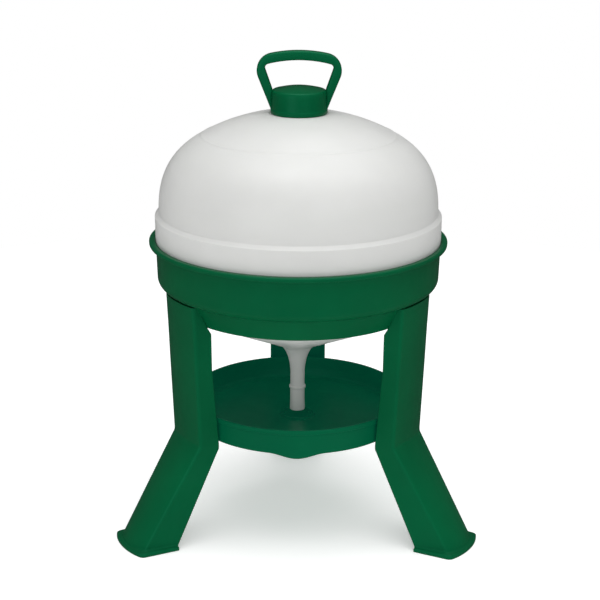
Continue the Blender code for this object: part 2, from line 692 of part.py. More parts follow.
def build_port_disc():
    """Fixed disc in the end of the tank's outlet tube, with two ports."""
    thickness = 0.0028
    rim = arc((0.0, 0.0), SPIGOT_BORE - 0.0003, 0.0, 360.0 - 360.0 / SMALL_STEPS, SMALL_STEPS)
    mesh = flat_outline_mesh("port_disc", [rim] + port_outlines(), thickness)
    disc = add_object("port_disc", mesh, PARTS, plastic("disc_white", WHITE, 0.4))
    disc.location = (0.0, 0.0, SPIGOT_FOOT + 0.0002 + thickness / 2)
    return disc


def build_sleeve():
    """Turning outlet: its web closes the ports a quarter turn away from open."""
    bore = SPIGOT_RADIUS + 0.0004
    groove_low = SPIGOT_FOOT + 0.0030
    groove_high = SPIGOT_FOOT + 0.0072
    outline = [(TUBE_RADIUS - 0.0004, SLEEVE_TOP), (TUBE_RADIUS + 0.0001, SLEEVE_TOP - 0.0006),
               (TUBE_RADIUS + 0.0001, SLEEVE_FOOT + 0.0160), (TUBE_RADIUS + 0.0007, SLEEVE_FOOT + 0.0006),
               (TUBE_RADIUS + 0.0004, SLEEVE_FOOT), (TUBE_RADIUS - 0.0013, SLEEVE_FOOT),
               (TUBE_RADIUS - 0.0019, SLEEVE_WEB_TOP - 0.0030), (0.0, SLEEVE_WEB_TOP - 0.0030),
               (0.0, SLEEVE_WEB_TOP), (bore, SLEEVE_WEB_TOP), (bore, groove_low),
               (bore + 0.0005, groove_low + 0.0008), (bore + 0.0005, groove_high - 0.0008),
               (bore, groove_high), (bore, SLEEVE_TOP)]
    sleeve = turned("outlet_sleeve", outline, SMALL_STEPS, plastic("sleeve_white", WHITE, 0.34))
    height = 0.0080
    ports = add_cutter("port_cutter", flat_outline_mesh("port_cutter", port_outlines(), height))
    ports.location = (0.0, 0.0, SLEEVE_WEB_TOP - 0.0015)
    combine(sleeve, ports, "DIFFERENCE")
    return sleeve


def build_seal():
    """Ring seal in the spigot's groove."""
    middle = BEAD_FOOT - 0.0042 - 0.0011
    inner = SPIGOT_RADIUS - 0.0010
    outer = SPIGOT_RADIUS + 0.0001
    section = 0.0007
    outline = [(outer, middle + section * 0.5), (outer, middle - section * 0.5),
               (outer - 0.0003, middle - section), (inner + 0.0003, middle - section),
               (inner, middle - section * 0.5), (inner, middle + section * 0.5),
               (inner + 0.0003, middle + section), (outer - 0.0003, middle + section)]
    return turned("outlet_seal", outline, SMALL_STEPS, plastic("seal_rubber", (0.03, 0.03, 0.03), 0.6))


# ---- assembly -----------------------------------------------------------------------------------
def build():
    drinker = add_empty("drinker", (0.0, AXIS_Y, 0.0))
    stand_axis = add_empty("stand_axis", (0.0, 0.0, 0.0), drinker)
    tank_axis = add_empty("tank_axis", (0.0, 0.0, BELT_HEIGHT), drinker)
    cap_axis = add_empty("cap_axis", (0.0, 0.0, CAP_FOOT), drinker)
    sleeve_axis = add_empty("sleeve_axis", (0.0, 0.0, SLEEVE_TOP), drinker)
    for piece in [build_support_ring(), build_tray()] + build_legs():
        hang_on(piece, stand_axis)
    for piece in (build_tank(), build_port_disc(), build_seal()):
        hang_on(piece, tank_axis)
    for piece in (build_cap(), build_gasket()):
        hang_on(piece, cap_axis)
    hang_on(build_sleeve(), sleeve_axis)
    for cutter in CUTTERS.objects:
        hang_on(cutter, drinker)


clear_scene()
PARTS = new_collection("siphon_drinker")
CUTTERS = new_collection("cutters")
build()
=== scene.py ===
"""Looks of the top-filled siphon drinker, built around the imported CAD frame.

Everything is in metres, +Z up. Every round piece is turned about the tank's axis, which the tank's
own box gives. The fine shells follow the CAD's dimensions, with the roundings that moulding leaves.
"""
import math
import bpy
import bmesh
from mathutils import Matrix, Vector


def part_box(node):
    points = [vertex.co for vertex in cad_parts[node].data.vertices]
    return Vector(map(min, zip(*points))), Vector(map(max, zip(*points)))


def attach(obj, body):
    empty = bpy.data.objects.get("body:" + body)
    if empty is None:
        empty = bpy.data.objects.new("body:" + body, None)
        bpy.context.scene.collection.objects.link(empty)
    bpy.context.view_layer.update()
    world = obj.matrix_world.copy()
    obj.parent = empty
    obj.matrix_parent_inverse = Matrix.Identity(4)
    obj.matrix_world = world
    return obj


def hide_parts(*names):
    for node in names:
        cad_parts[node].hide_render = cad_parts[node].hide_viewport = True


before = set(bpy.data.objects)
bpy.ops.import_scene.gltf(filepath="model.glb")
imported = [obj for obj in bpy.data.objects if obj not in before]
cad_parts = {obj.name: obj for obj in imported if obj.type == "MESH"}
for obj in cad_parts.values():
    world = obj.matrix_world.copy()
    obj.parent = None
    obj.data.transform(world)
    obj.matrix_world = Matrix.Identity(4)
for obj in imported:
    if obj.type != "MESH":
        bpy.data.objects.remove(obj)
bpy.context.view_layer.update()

# ---- where things are ---------------------------------------------------------------------------
tank_low, tank_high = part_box("tank")
ring_low, ring_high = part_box("support_ring")
tray_low, tray_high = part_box("drinking_tray")
cap_low, cap_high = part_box("filler_cap")
leg_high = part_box("leg_rear")[1]
sleeve_low, sleeve_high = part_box("outlet_sleeve")
gasket_low, gasket_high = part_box("cap_gasket")
seal_low, seal_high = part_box("outlet_seal")

AXIS = Vector((0.0, (tank_low.y + tank_high.y) / 2, 0.0))
TURN_STEPS = 192
SMALL_STEPS = 96
WALL = 0.003

FLANGE_RADIUS = (ring_high.x - ring_low.x) / 2
FLANGE_TOP = ring_high.z
RING_FOOT = ring_low.z
RING_RADIUS = FLANGE_RADIUS - 0.0112
RING_DRAFT = 0.0012
ROLL_RADIUS = 0.0130
ROLL_HEIGHT = RING_FOOT + 0.0448
BAND_TOP = RING_FOOT + 0.0316
BAND_TOP_RADIUS = FLANGE_RADIUS - 0.0262
BAND_FOOT_RADIUS = FLANGE_RADIUS - 0.0400

LEG_AZIMUTHS = {"leg_front_left": 210.0, "leg_front_right": 330.0, "leg_rear": 90.0}
LOBE_AZIMUTHS = (30.0, 150.0, 270.0)


# ---- outlines -----------------------------------------------------------------------------------
def arc(centre, radius, start, end, count):
    """Points of a circular arc, angles in degrees."""
    points = []
    for i in range(count):
        angle = math.radians(start + (end - start) * i / (count - 1))
        points.append((centre[0] + radius * math.cos(angle), centre[1] + radius * math.sin(angle)))
    return points


def bezier(p0, p1, p2, p3, count):
    points = []
    for i in range(count):
        t = i / (count - 1)
        weights = ((1 - t) ** 3, 3 * t * (1 - t) ** 2, 3 * t * t * (1 - t), t ** 3)
        points.append(tuple(sum(w * p[k] for w, p in zip(weights, (p0, p1, p2, p3))) for k in (0, 1)))
    return points


def fillet(before, corner, after, radius, count, share=0.48):
    """A corner of a flat outline, rounded within a share of the lines that meet there."""
    corner = Vector(corner)
    back = Vector(before) - corner
    on = Vector(after) - corner
    half = back.angle(on) / 2
    if half > math.radians(88.0):
        return [tuple(corner)]
    reach = min(radius / math.tan(half), back.length * share, on.length * share)
    start = corner + back.normalized() * reach
    end = corner + on.normalized() * reach
    centre = corner + (back.normalized() + on.normalized()).normalized() * reach / math.cos(half)
    arm = start - centre
    sweep = arm.angle_signed(end - centre)
    return [tuple(centre + Matrix.Rotation(-sweep * i / (count - 1), 2) @ arm) for i in range(count)]


def rounded(corners, closed=True, count=5):
    """An outline from (radius, height, rounding) corners."""
    points = []
    last = len(corners) - 1
    for i, (x, z, radius) in enumerate(corners):
        ends = not closed and i in (0, last)
        if radius == 0.0 or ends:
            points.append((x, z))
            continue
        before = corners[i - 1][:2]
        after = corners[(i + 1) % len(corners)][:2]
        points += fillet(before, (x, z), after, radius, count)
    return points


def offset_inward(line, distance):
    """The same line, moved towards the axis side by a constant wall."""
    moved = []
    for i, point in enumerate(line):
        before = Vector(line[max(i - 1, 0)])
        after = Vector(line[min(i + 1, len(line) - 1)])
        here = Vector(point)
        normals = []
        for step in (here - before, after - here):
            if step.length > 0:
                normals.append(Vector((step.y, -step.x)).normalized())
        mean = sum(normals, Vector((0.0, 0.0))).normalized()
        moved.append(tuple(here + mean * distance / max(mean.dot(normals[0]), 0.6)))
    return moved


# ---- meshes -------------------------------------------------------------------------------------
def mesh_from(name, verts, faces, sharp=32.0):
    """A mesh with consistent outward faces, smooth except at sharp edges."""
    mesh = bpy.data.meshes.new(name)
    mesh.from_pydata(verts, [], faces)
    bm = bmesh.new()
    bm.from_mesh(mesh)
    bmesh.ops.remove_doubles(bm, verts=bm.verts, dist=0.000002)
    bmesh.ops.recalc_face_normals(bm, faces=bm.faces)
    bm.to_mesh(mesh)
    bm.free()
    mesh.shade_smooth()
    mesh.set_sharp_from_angle(angle=math.radians(sharp))
    return mesh


def turned_parts(outline, steps, closed=True):
    """Verts and faces of an outline of (radius, height) turned about the tank's axis."""
    verts = []
    faces = []
    size = len(outline)
    for i in range(steps):
        angle = 2 * math.pi * i / steps
        for radius, height in outline:
            verts.append((AXIS.x + radius * math.cos(angle), AXIS.y + radius * math.sin(angle), height))
    spans = size if closed else size - 1
    for i in range(steps):
        here, there = i * size, ((i + 1) % steps) * size
        for j in range(spans):
            k = (j + 1) % size
            if outline[j][0] == 0.0 and outline[k][0] == 0.0:
                continue
            if outline[j][0] == 0.0:
                faces.append((here + j, there + k, here + k))
            elif outline[k][0] == 0.0:
                faces.append((here + j, there + j, here + k))
            else:
                faces.append((here + j, there + j, there + k, here + k))
    return verts, faces


def joined(*parts):
    """Several (verts, faces) as one."""
    verts = []
    faces = []
    for more_verts, more_faces in parts:
        start = len(verts)
        verts += more_verts
        faces += [tuple(start + index for index in face) for face in more_faces]
    return verts, faces


def lofted_parts(rows):
    """Verts and faces through closed rows of equally many points, capped at both ends."""
    size = len(rows[0])
    verts = [tuple(point) for row in rows for point in row]
    faces = []
    for i in range(len(rows) - 1):
        for j in range(size):
            k = (j + 1) % size
            faces.append((i * size + j, i * size + k, (i + 1) * size + k, (i + 1) * size + j))
    faces.append(tuple(range(size)))
    faces.append(tuple(reversed(range((len(rows) - 1) * size, len(rows) * size))))
    return verts, faces


def placed(parts, azimuth):
    """Parts modelled along +X from the axis, turned to an azimuth about the tank's axis."""
    verts, faces = parts
    turn = Matrix.Translation(AXIS) @ Matrix.Rotation(math.radians(azimuth), 4, "Z")
    return [tuple(turn @ Vector(vert)) for vert in verts], faces


def add_piece(name, parts, material, body, nodes, sharp=32.0):
    mesh = mesh_from(name, *parts, sharp=sharp)
    mesh.materials.append(material)
    piece = bpy.data.objects.new(name, mesh)
    bpy.context.scene.collection.objects.link(piece)
    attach(piece, body)
    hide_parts(*nodes)
    return piece


def thread_parts(radius, start_height, depth, taper=0.10):
    """A rounded right-hand thread that runs out to nothing at both ends."""
    pitch, turns, per_turn, sides = 0.0060, 1.5, 96, 10
    count = int(turns * per_turn)
    rows = []
    for i in range(count + 1):
        share = i / count
        fade = min(1.0, share / taper, (1.0 - share) / taper)
        size = depth * max(0.15, math.sin(fade * math.pi / 2))
        angle = 2 * math.pi * turns * share
        height = start_height + pitch * turns * share
        row = []
        for side in range(sides):
            around = 2 * math.pi * side / sides
            reach = radius + size * math.cos(around)
            row.append((AXIS.x + reach * math.cos(angle), AXIS.y + reach * math.sin(angle),
                        height + size * math.sin(around)))
        rows.append(row)
    return lofted_parts(rows)


# ---- materials ----------------------------------------------------------------------------------
class Nodes:
    """Short-hand for building a node material."""

    def __init__(self, name):
        self.material = bpy.data.materials.new(name)
        self.material.use_nodes = True
        self.tree = self.material.node_tree
        self.shader = self.tree.nodes["Principled BSDF"]
        self.coords = self.add("ShaderNodeTexCoord")

    def add(self, kind, **values):
        node = self.tree.nodes.new(kind)
        for key, value in values.items():
            setattr(node, key, value)
        return node

    def link(self, source, target):
        self.tree.links.new(source, target)

    def noise(self, scale, detail=3.0, roughness=0.5, stretch=(1.0, 1.0, 1.0)):
        mapping = self.add("ShaderNodeMapping")
        mapping.inputs["Scale"].default_value = stretch
        self.link(self.coords.outputs["Object"], mapping.inputs["Vector"])
        noise = self.add("ShaderNodeTexNoise")
        noise.inputs["Scale"].default_value = scale
        noise.inputs["Detail"].default_value = detail
        noise.inputs["Roughness"].default_value = roughness
        self.link(mapping.outputs["Vector"], noise.inputs["Vector"])
        return noise.outputs["Fac"]

    def spread(self, value, low, high, to_low, to_high):
        node = self.add("ShaderNodeMapRange")
        node.inputs["From Min"].default_value = low
        node.inputs["From Max"].default_value = high
        node.inputs["To Min"].default_value = to_low
        node.inputs["To Max"].default_value = to_high
        self.link(value, node.inputs["Value"])
        return node.outputs["Result"]

    def math(self, operation, first, second):
        node = self.add("ShaderNodeMath", operation=operation)
        for socket, value in zip(node.inputs, (first, second)):
            if isinstance(value, (int, float)):
                socket.default_value = value
            else:
                self.link(value, socket)
        return node.outputs["Value"]

    def mix(self, share, first, second):
        node = self.add("ShaderNodeMix", data_type="RGBA")
        self.link(share, node.inputs["Factor"])
        for socket, value in zip((node.inputs[6], node.inputs[7]), (first, second)):
            if isinstance(value, tuple):
                socket.default_value = (*value, 1.0)
            else:
                self.link(value, socket)
        return node.outputs[2]

    def bump(self, height, distance, strength=1.0, under=None):
        node = self.add("ShaderNodeBump")
        node.inputs["Distance"].default_value = distance
        node.inputs["Strength"].default_value = strength
        self.link(height, node.inputs["Height"])
        if under is not None:
            self.link(under, node.inputs["Normal"])
        return node.outputs["Normal"]

    def set(self, **values):
        for key, value in values.items():
            socket = self.shader.inputs[key.replace("_", " ")]
            socket.default_value = (*value, 1.0) if isinstance(value, tuple) and len(value) == 3 else value


def scaled(color, factor):
    return tuple(channel * factor for channel in color)


def green_plastic(name, color, roughness, painted_fill_glow=0.0):
    """Injection-moulded green: cloudy pigment, fine texture, sink marks, scuffed edges.

    The emission strength is painted fill light: a faint green glow that brightens parts lying in shade.
    """
    nodes = Nodes(name)
    cloud = nodes.noise(7.0, detail=4.0, roughness=0.55)
    tone = nodes.mix(nodes.spread(cloud, 0.3, 0.7, 0.0, 1.0), scaled(color, 0.90), scaled(color, 1.10))
    streak = nodes.noise(16.0, detail=3.0, stretch=(1.0, 1.0, 0.16))
    tone = nodes.mix(nodes.spread(streak, 0.56, 0.78, 0.0, 0.22), tone, scaled(color, 1.35))
    edge = nodes.add("ShaderNodeNewGeometry").outputs["Pointiness"]
    rub = nodes.spread(nodes.noise(55.0, detail=5.0), 0.45, 0.75, 0.1, 1.0)
    worn = nodes.math("MULTIPLY", nodes.spread(edge, 0.54, 0.64, 0.0, 0.16), rub)
    tone = nodes.mix(worn, tone, (color[0] + 0.035, color[1] + 0.085, color[2] + 0.060))
    nodes.link(tone, nodes.shader.inputs["Base Color"])
    haze = nodes.noise(42.0, detail=5.0, roughness=0.6)
    gloss = nodes.spread(haze, 0.25, 0.75, roughness - 0.05, roughness + 0.07)
    nodes.link(gloss, nodes.shader.inputs["Roughness"])
    sink = nodes.bump(nodes.noise(13.0, detail=1.0), 0.0012, 0.35)
    grain = nodes.bump(nodes.noise(1500.0, detail=2.0), 0.00008, 0.5, under=sink)
    nodes.link(grain, nodes.shader.inputs["Normal"])
    nodes.set(Specular_IOR_Level=0.20, Specular_Tint=(0.22, 1.0, 0.72))
    # Painted fill light: a green emission that makes shaded parts read brighter.
    nodes.set(Emission_Color=PAINTED_FILL_GREEN, Emission_Strength=painted_fill_glow)
    return nodes.material


def tank_plastic(name, color, roughness, wall_glow):
    """Translucent white blow-moulded plastic: milky, faintly uneven, with a soft orange-peel."""
    nodes = Nodes(name)
    cloud = nodes.noise(6.0, detail=4.0, roughness=0.6)
    tone = nodes.mix(nodes.spread(cloud, 0.3, 0.7, 0.0, 1.0), scaled(color, 0.955), scaled(color, 1.015))
    band = nodes.noise(5.0, detail=3.0, stretch=(0.35, 0.35, 5.0))
    shade = (color[0] * 0.93, color[1] * 0.945, color[2] * 0.93)
    tone = nodes.mix(nodes.spread(band, 0.45, 0.75, 0.0, 0.40), tone, shade)
    scuff = nodes.noise(34.0, detail=6.0, roughness=0.7, stretch=(1.0, 1.0, 3.5))
    tone = nodes.mix(nodes.spread(scuff, 0.62, 0.78, 0.0, 0.20), tone, scaled(color, 0.86))
    nodes.link(tone, nodes.shader.inputs["Base Color"])
    haze = nodes.noise(28.0, detail=5.0, roughness=0.6)
    gloss = nodes.spread(haze, 0.25, 0.75, roughness - 0.06, roughness + 0.08)
    nodes.link(gloss, nodes.shader.inputs["Roughness"])
    peel = nodes.bump(nodes.noise(170.0, detail=2.0), 0.00016, 0.30)
    waves = nodes.bump(nodes.noise(9.0, detail=2.0), 0.0022, 0.30, under=peel)
    nodes.link(waves, nodes.shader.inputs["Normal"])
    nodes.set(Subsurface_Weight=wall_glow, Subsurface_Scale=0.006, Specular_IOR_Level=0.40)
    nodes.shader.inputs["Subsurface Radius"].default_value = (1.0, 1.0, 0.92)
    return nodes.material


def black_rubber(name):
    nodes = Nodes(name)
    bloom = nodes.noise(90.0, detail=4.0)
    tone = nodes.mix(nodes.spread(bloom, 0.4, 0.7, 0.0, 1.0), (0.018, 0.018, 0.019), (0.040, 0.040, 0.038))
    nodes.link(tone, nodes.shader.inputs["Base Color"])
    nodes.link(nodes.spread(bloom, 0.3, 0.7, 0.55, 0.75), nodes.shader.inputs["Roughness"])
    nodes.link(nodes.bump(nodes.noise(1200.0), 0.0001, 0.5), nodes.shader.inputs["Normal"])
    return nodes.material


# ---- support ring -------------------------------------------------------------------------------
def ring_outline():
    top = FLANGE_TOP
    rim = FLANGE_RADIUS
    band_slope = offset_inward([(BAND_TOP_RADIUS, BAND_TOP), (BAND_FOOT_RADIUS, RING_FOOT)], WALL)
    roll_centre = (RING_RADIUS - ROLL_RADIUS, ROLL_HEIGHT)
    wall = RING_RADIUS + RING_DRAFT
    flange = rounded([(rim - 0.0092, top - 0.0022, 0.0),
                      (rim - 0.0088, top, 0.0008),
                      (rim - 0.0020, top - 0.0001, 0.0014),
                      (rim, top - 0.0016, 0.0016),
                      (rim - 0.0003, top - 0.0060, 0.0014),
                      (wall + 0.0006, top - 0.0078, 0.0024),
                      (wall, top - 0.0180, 0.0)], closed=False)
    roll = arc(roll_centre, ROLL_RADIUS, 0, -90, 22)
    foot = rounded([(BAND_TOP_RADIUS, BAND_TOP, 0.0),
                    (BAND_FOOT_RADIUS, RING_FOOT, 0.0009),
                    (band_slope[1][0], RING_FOOT, 0.0009),
                    (band_slope[0][0], band_slope[0][1], 0.0)], closed=False)
    inside = arc(roll_centre, ROLL_RADIUS - WALL, -90, 0, 16)
    seat = [(RING_RADIUS - 0.0036, top - 0.0150), (RING_RADIUS - 0.0008, top - 0.0080)]
    return flange + roll + foot[1:-1] + inside + seat


def boss_parts():
    """The block inside the top of a leg, along +X."""
    inner, outer, half_width = BAND_FOOT_RADIUS - 0.0010, RING_RADIUS - 0.0130, 0.0362
    low, high = RING_FOOT + 0.003, BAND_TOP + 0.0014
    reach = math.degrees(math.asin(half_width / outer))
    outline = arc((0.0, 0.0), outer, -reach, reach, 17) + arc((0.0, 0.0), inner, reach, -reach, 17)
    rows = [[(x, y, height) for x, y in outline] for height in (low, high)]
    return lofted_parts(rows)


def make_ring(material):
    bosses = [placed(boss_parts(), azimuth) for azimuth in LEG_AZIMUTHS.values()]
    parts = joined(turned_parts(ring_outline(), TURN_STEPS), *bosses)
    add_piece("support_ring_shell", parts, material, "stand", ["support_ring"])


# ---- legs ---------------------------------------------------------------------------------------
LEG_HALF = 0.0422
FOOT_FACE_HALF = 0.0370
FOOT_EDGE_HALF = 0.0424
LEG_TOP = leg_high.z
SHELF_TOP = 0.1476


def leg_line(face, edge, face_half, edge_half, crown, corner=0.0050):
    """Outside of a leg's channel in plan: up one flank, round the bowed face and back."""
    flat = face_half - corner
    slope = math.degrees(math.atan(2 * crown / flat))
    round_corner = arc((face - corner, flat), corner, 90, slope, 7)
    reach, side = round_corner[-1]
    flank = [(edge + (face - corner - edge) * i / 6, edge_half + (face_half - edge_half) * i / 6)
             for i in range(6)]
    front = [(reach + crown * (1 - (i / 9) ** 2), side * i / 9) for i in range(8, -1, -1)]
    half = flank + round_corner + front
    return half + [(radius, -across) for radius, across in reversed(half[:-1])]


def leg_section(height_face, height_edge, face, edge, face_half, edge_half, crown):
    """One closed row round a leg's channel: outer skin, free edge, inner skin, free edge.

    The row leans: its face side is at one height and its free edges at another.
    """
    outer = leg_line(face, edge, face_half, edge_half, crown)
    inner = offset_inward(list(reversed(outer)), -WALL)
    inner.reverse()
    lip = WALL * 0.5
    start_out, start_in = Vector(outer[0]), Vector(inner[0])
    end_out, end_in = Vector(outer[-1]), Vector(inner[-1])
    middle_start = (start_out + start_in) / 2 - Vector((lip * 0.8, 0.0))
    middle_end = (end_out + end_in) / 2 - Vector((lip * 0.8, 0.0))
    loop = outer + [tuple(middle_end)] + list(reversed(inner)) + [tuple(middle_start)]
    row = []
    for radius, across in loop:
        share = min(max((radius - edge) / (face - edge), -0.1), 1.1)
        row.append((radius, across, height_edge + (height_face - height_edge) * share))
    return row


def leg_stations():
    """(face height, edge height, face radius, edge radius, 0 above the bend to 1 at the foot)."""
    keys = [(LEG_TOP, LEG_TOP, 0.1897, 0.1810, 0.0),
            (0.3200, 0.3200, 0.1882, 0.1670, 0.0),
            (0.3100, 0.3100, 0.1876, 0.1610, 0.0),
            (0.2570, 0.2570, 0.1855, 0.1604, 0.0),
            (0.1560, 0.1500, 0.1809, 0.1513, 0.0),
            (0.1506, 0.1440, 0.1807, 0.1510, 0.0),
            (0.1478, 0.1402, 0.1809, 0.1511, 0.0),
            (0.1456, 0.1376, 0.1818, 0.1519, 0.02),
            (0.1430, 0.1348, 0.1834, 0.1536, 0.04),
            (0.0770, 0.0714, 0.2239, 0.1848, 0.52),
            (0.0110, 0.0080, 0.2643, 0.2160, 1.0),
            (0.0030, 0.0030, 0.2692, 0.2184, 1.0)]
    steps = (4, 2, 6, 10, 2, 2, 2, 2, 8, 8, 2)
    stations = []
    for first, second, count in zip(keys, keys[1:], steps):
        for i in range(count):
            stations.append(tuple(a + (b - a) * i / count for a, b in zip(first, second)))
    return stations + [keys[-1]]


def channel_parts():
    rows = []
    for face_height, edge_height, face, edge, down in leg_stations():
        face_half = LEG_HALF + (FOOT_FACE_HALF - LEG_HALF) * down
        edge_half = LEG_HALF + (FOOT_EDGE_HALF - LEG_HALF) * down
        crown = 0.0047 + 0.0048 * down
        rows.append(leg_section(face_height, edge_height, face, edge, face_half, edge_half, crown))
    return lofted_parts(rows)


SOLE_TOP = 0.0062


def foot_outline():
    """The sole's outline along +X: straight sides, rounded shoulders and a bowed nose."""
    nose_reach, nose_radius, half = 0.2818, 0.1150, 0.0438
    middle = nose_reach - nose_radius
    root = (0.2170, 0.0469)
    shoulder = (middle + math.sqrt(nose_radius ** 2 - half ** 2), half)
    nose = arc((middle, 0.0), nose_radius, 15.0, -15.0, 25)
    near = [tuple(root[k] + (shoulder[k] - root[k]) * i / 8 for k in (0, 1)) for i in range(7)]
    near += fillet(root, shoulder, nose[0], 0.0090, 9, share=0.9)
    return near + nose + [(x, -y) for x, y in reversed(near)]


def foot_parts():
    """The sole with its edges rounded."""
    outline = foot_outline()
    rows = []
    edge = ((0.0006, 0.0), (0.0, 0.0007), (0.0, SOLE_TOP - 0.0014), (0.0004, SOLE_TOP - 0.0005),
            (0.0014, SOLE_TOP))
    for inset, height in edge:
        line = offset_inward([outline[-1]] + outline + [outline[0]], inset)[1:-1]
        rows.append([(x, y, height) for x, y in line])
    return lofted_parts(rows)


def foot_fillet_parts():
    """The small hollow where the channel's face and flanks run out over the sole."""
    leg = leg_line(0.2672, 0.2169, FOOT_FACE_HALF, FOOT_EDGE_HALF, 0.0095)
    steps = 6
    reach = 0.0026
    rows = []
    for i in range(steps):
        turn = math.pi / 2 * i / (steps - 1)
        out, up = reach * (1 - math.sin(turn)), reach * (1 - math.cos(turn))
        line = offset_inward(leg, -out)
        rows.append([(x - up * 0.60, y, SOLE_TOP - 0.0002 + up) for x, y in line])
    verts = [point for row in rows for point in row]
    size = len(leg)
    faces = [(i * size + j, i * size + j + 1, (i + 1) * size + j + 1, (i + 1) * size + j)
             for i in range(steps - 1) for j in range(size - 1)]
    return verts, faces


def shelf_parts():
    """The web across the channel that the tray rests on."""
    back = arc((0.1000, 0.0), 0.0829, 24.0, -24.0, 15)
    front = [(0.1720, -0.0400), (0.1520, -0.0400), (0.1496, -0.0330), (0.1485, -0.0200), (0.1478, 0.0),
             (0.1485, 0.0200), (0.1496, 0.0330), (0.1520, 0.0400), (0.1720, 0.0400)]
    rows = [[(x, y, height) for x, y in back + front] for height in (SHELF_TOP - WALL, SHELF_TOP)]
    return lofted_parts(rows)


def make_legs(front_material, rear_painted_fill_material):
    parts = joined(channel_parts(), foot_parts(), foot_fillet_parts(), shelf_parts())
    for name, azimuth in LEG_AZIMUTHS.items():
        material = rear_painted_fill_material if name == "leg_rear" else front_material
        add_piece(name + "_shell", placed(parts, azimuth), material, "stand", [name],
                  sharp=40.0)


# ---- tray ---------------------------------------------------------------------------------------
TRAY_FOOT = 0.1480


def tray_outline():
    rim = (tray_high.x - tray_low.x) / 2
    top = tray_high.z
    foot = TRAY_FOOT
    floor = 0.1490
    wall = rim - 0.0028
    hub = 0.0240
    corners = [(0.0, floor, 0.0), (hub - 0.0040, floor, 0.0014), (hub - 0.0028, floor + 0.0032, 0.0010),
               (hub - 0.0002, floor + 0.0032, 0.0010), (hub + 0.0012, floor + 0.0002, 0.0016),
               (0.1405, floor + 0.0038, 0.0200), (0.1478, floor + 0.0070, 0.0060),
               (wall - 0.0026, floor + 0.0180, 0.0200), (wall - 0.0016, top - 0.0060, 0.0030),
               (rim - 0.0040, top, 0.0015), (rim, top, 0.0018), (rim, top - 0.0064, 0.0011),
               (wall + 0.0006, top - 0.0070, 0.0008), (wall, foot + 0.0030, 0.0),
               (wall - 0.0006, foot, 0.0026), (wall - 0.0064, foot, 0.0008),
               (wall - 0.0080, foot + 0.0022, 0.0010),
               (hub, floor - WALL + 0.0004, 0.0300), (0.0, floor - WALL, 0.0)]
    return rounded(corners, closed=False, count=6)


def lobed(parts):
    """Draws the tray's lower edge down into finger lobes."""
    verts, faces = parts
    foot, depth, half_width, rim = TRAY_FOOT, 0.0068, 0.0400, (tray_high.x - tray_low.x) / 2
    shaped = []
    for x, y, z in verts:
        radius = math.hypot(x - AXIS.x, y - AXIS.y)
        azimuth = math.degrees(math.atan2(y - AXIS.y, x - AXIS.x)) % 360
        pull = 0.0
        for lobe in LOBE_AZIMUTHS:
            across = math.radians(abs(azimuth - lobe)) * radius
            if across < half_width:
                pull = math.cos(math.pi / 2 * across / half_width) ** 2
        inside = rim - 0.0102
        if radius > inside and z < foot + 0.0028 and pull > 0.0:
            share = min(1.0, (radius - inside) / 0.0010) * min(1.0, (foot + 0.0028 - z) / 0.0010)
            z -= depth * pull * share
        shaped.append((x, y, z))
    return shaped, faces


def make_tray(material):
    parts = lobed(turned_parts(tray_outline(), 288, closed=False))
    add_piece("drinking_tray_shell", parts, material, "stand", ["drinking_tray"])


# ---- tank ---------------------------------------------------------------------------------------
CREASE_RADIUS = 0.1355
CREASE_HEIGHT = 0.5650
WAIST_RADIUS = 0.1965
BELT_RADIUS = (tank_high.x - tank_low.x) / 2
NECK_RADIUS = 0.0315
NECK_BORE = 0.0285
SEAT_EDGE = 0.0480
TUBE_RADIUS = 0.0104
BEAD_RADIUS = 0.0120
SPIGOT_RADIUS = 0.0080
NECK_TOP = tank_high.z
COLLAR_TOP = NECK_TOP - 0.0241
CROWN_RADIUS = 0.2887
WAIST_HEIGHT = 0.4625
BELT_HEIGHT = 0.4510
BEAD_FOOT = sleeve_high.z + 0.0004
SPIGOT_FOOT = tank_low.z


def dome_line():
    """Outside of the tank from the flat seat round the neck to the belt."""
    edge, edge_height = CREASE_RADIUS, CREASE_HEIGHT
    waist = Vector((WAIST_RADIUS, WAIST_HEIGHT))
    reach = math.sqrt(CROWN_RADIUS ** 2 - edge ** 2)
    centre = edge_height - reach
    line = rounded([(NECK_RADIUS, COLLAR_TOP, 0.0), (0.0410, COLLAR_TOP, 0.0006),
                    (0.0422, COLLAR_TOP + 0.0006, 0.0010),
                    (SEAT_EDGE, centre + math.sqrt(CROWN_RADIUS ** 2 - SEAT_EDGE ** 2), 0.0)], closed=False)
    for i in range(1, 29):
        radius = SEAT_EDGE + (edge - 0.0012 - SEAT_EDGE) * i / 28
        line.append((radius, centre + math.sqrt(CROWN_RADIUS ** 2 - radius ** 2)))
    line += [(edge - 0.0004, edge_height + 0.0004), (edge + 0.0003, edge_height + 0.0002),
             (edge + 0.0008, edge_height - 0.0004)]
    slope = Vector((reach, -edge)).normalized()
    start = Vector((edge + 0.0012, edge_height - 0.0009))
    line += bezier(start, start + slope * 0.0402, waist + Vector((0.0, 0.0548)), waist, 48)
    return line


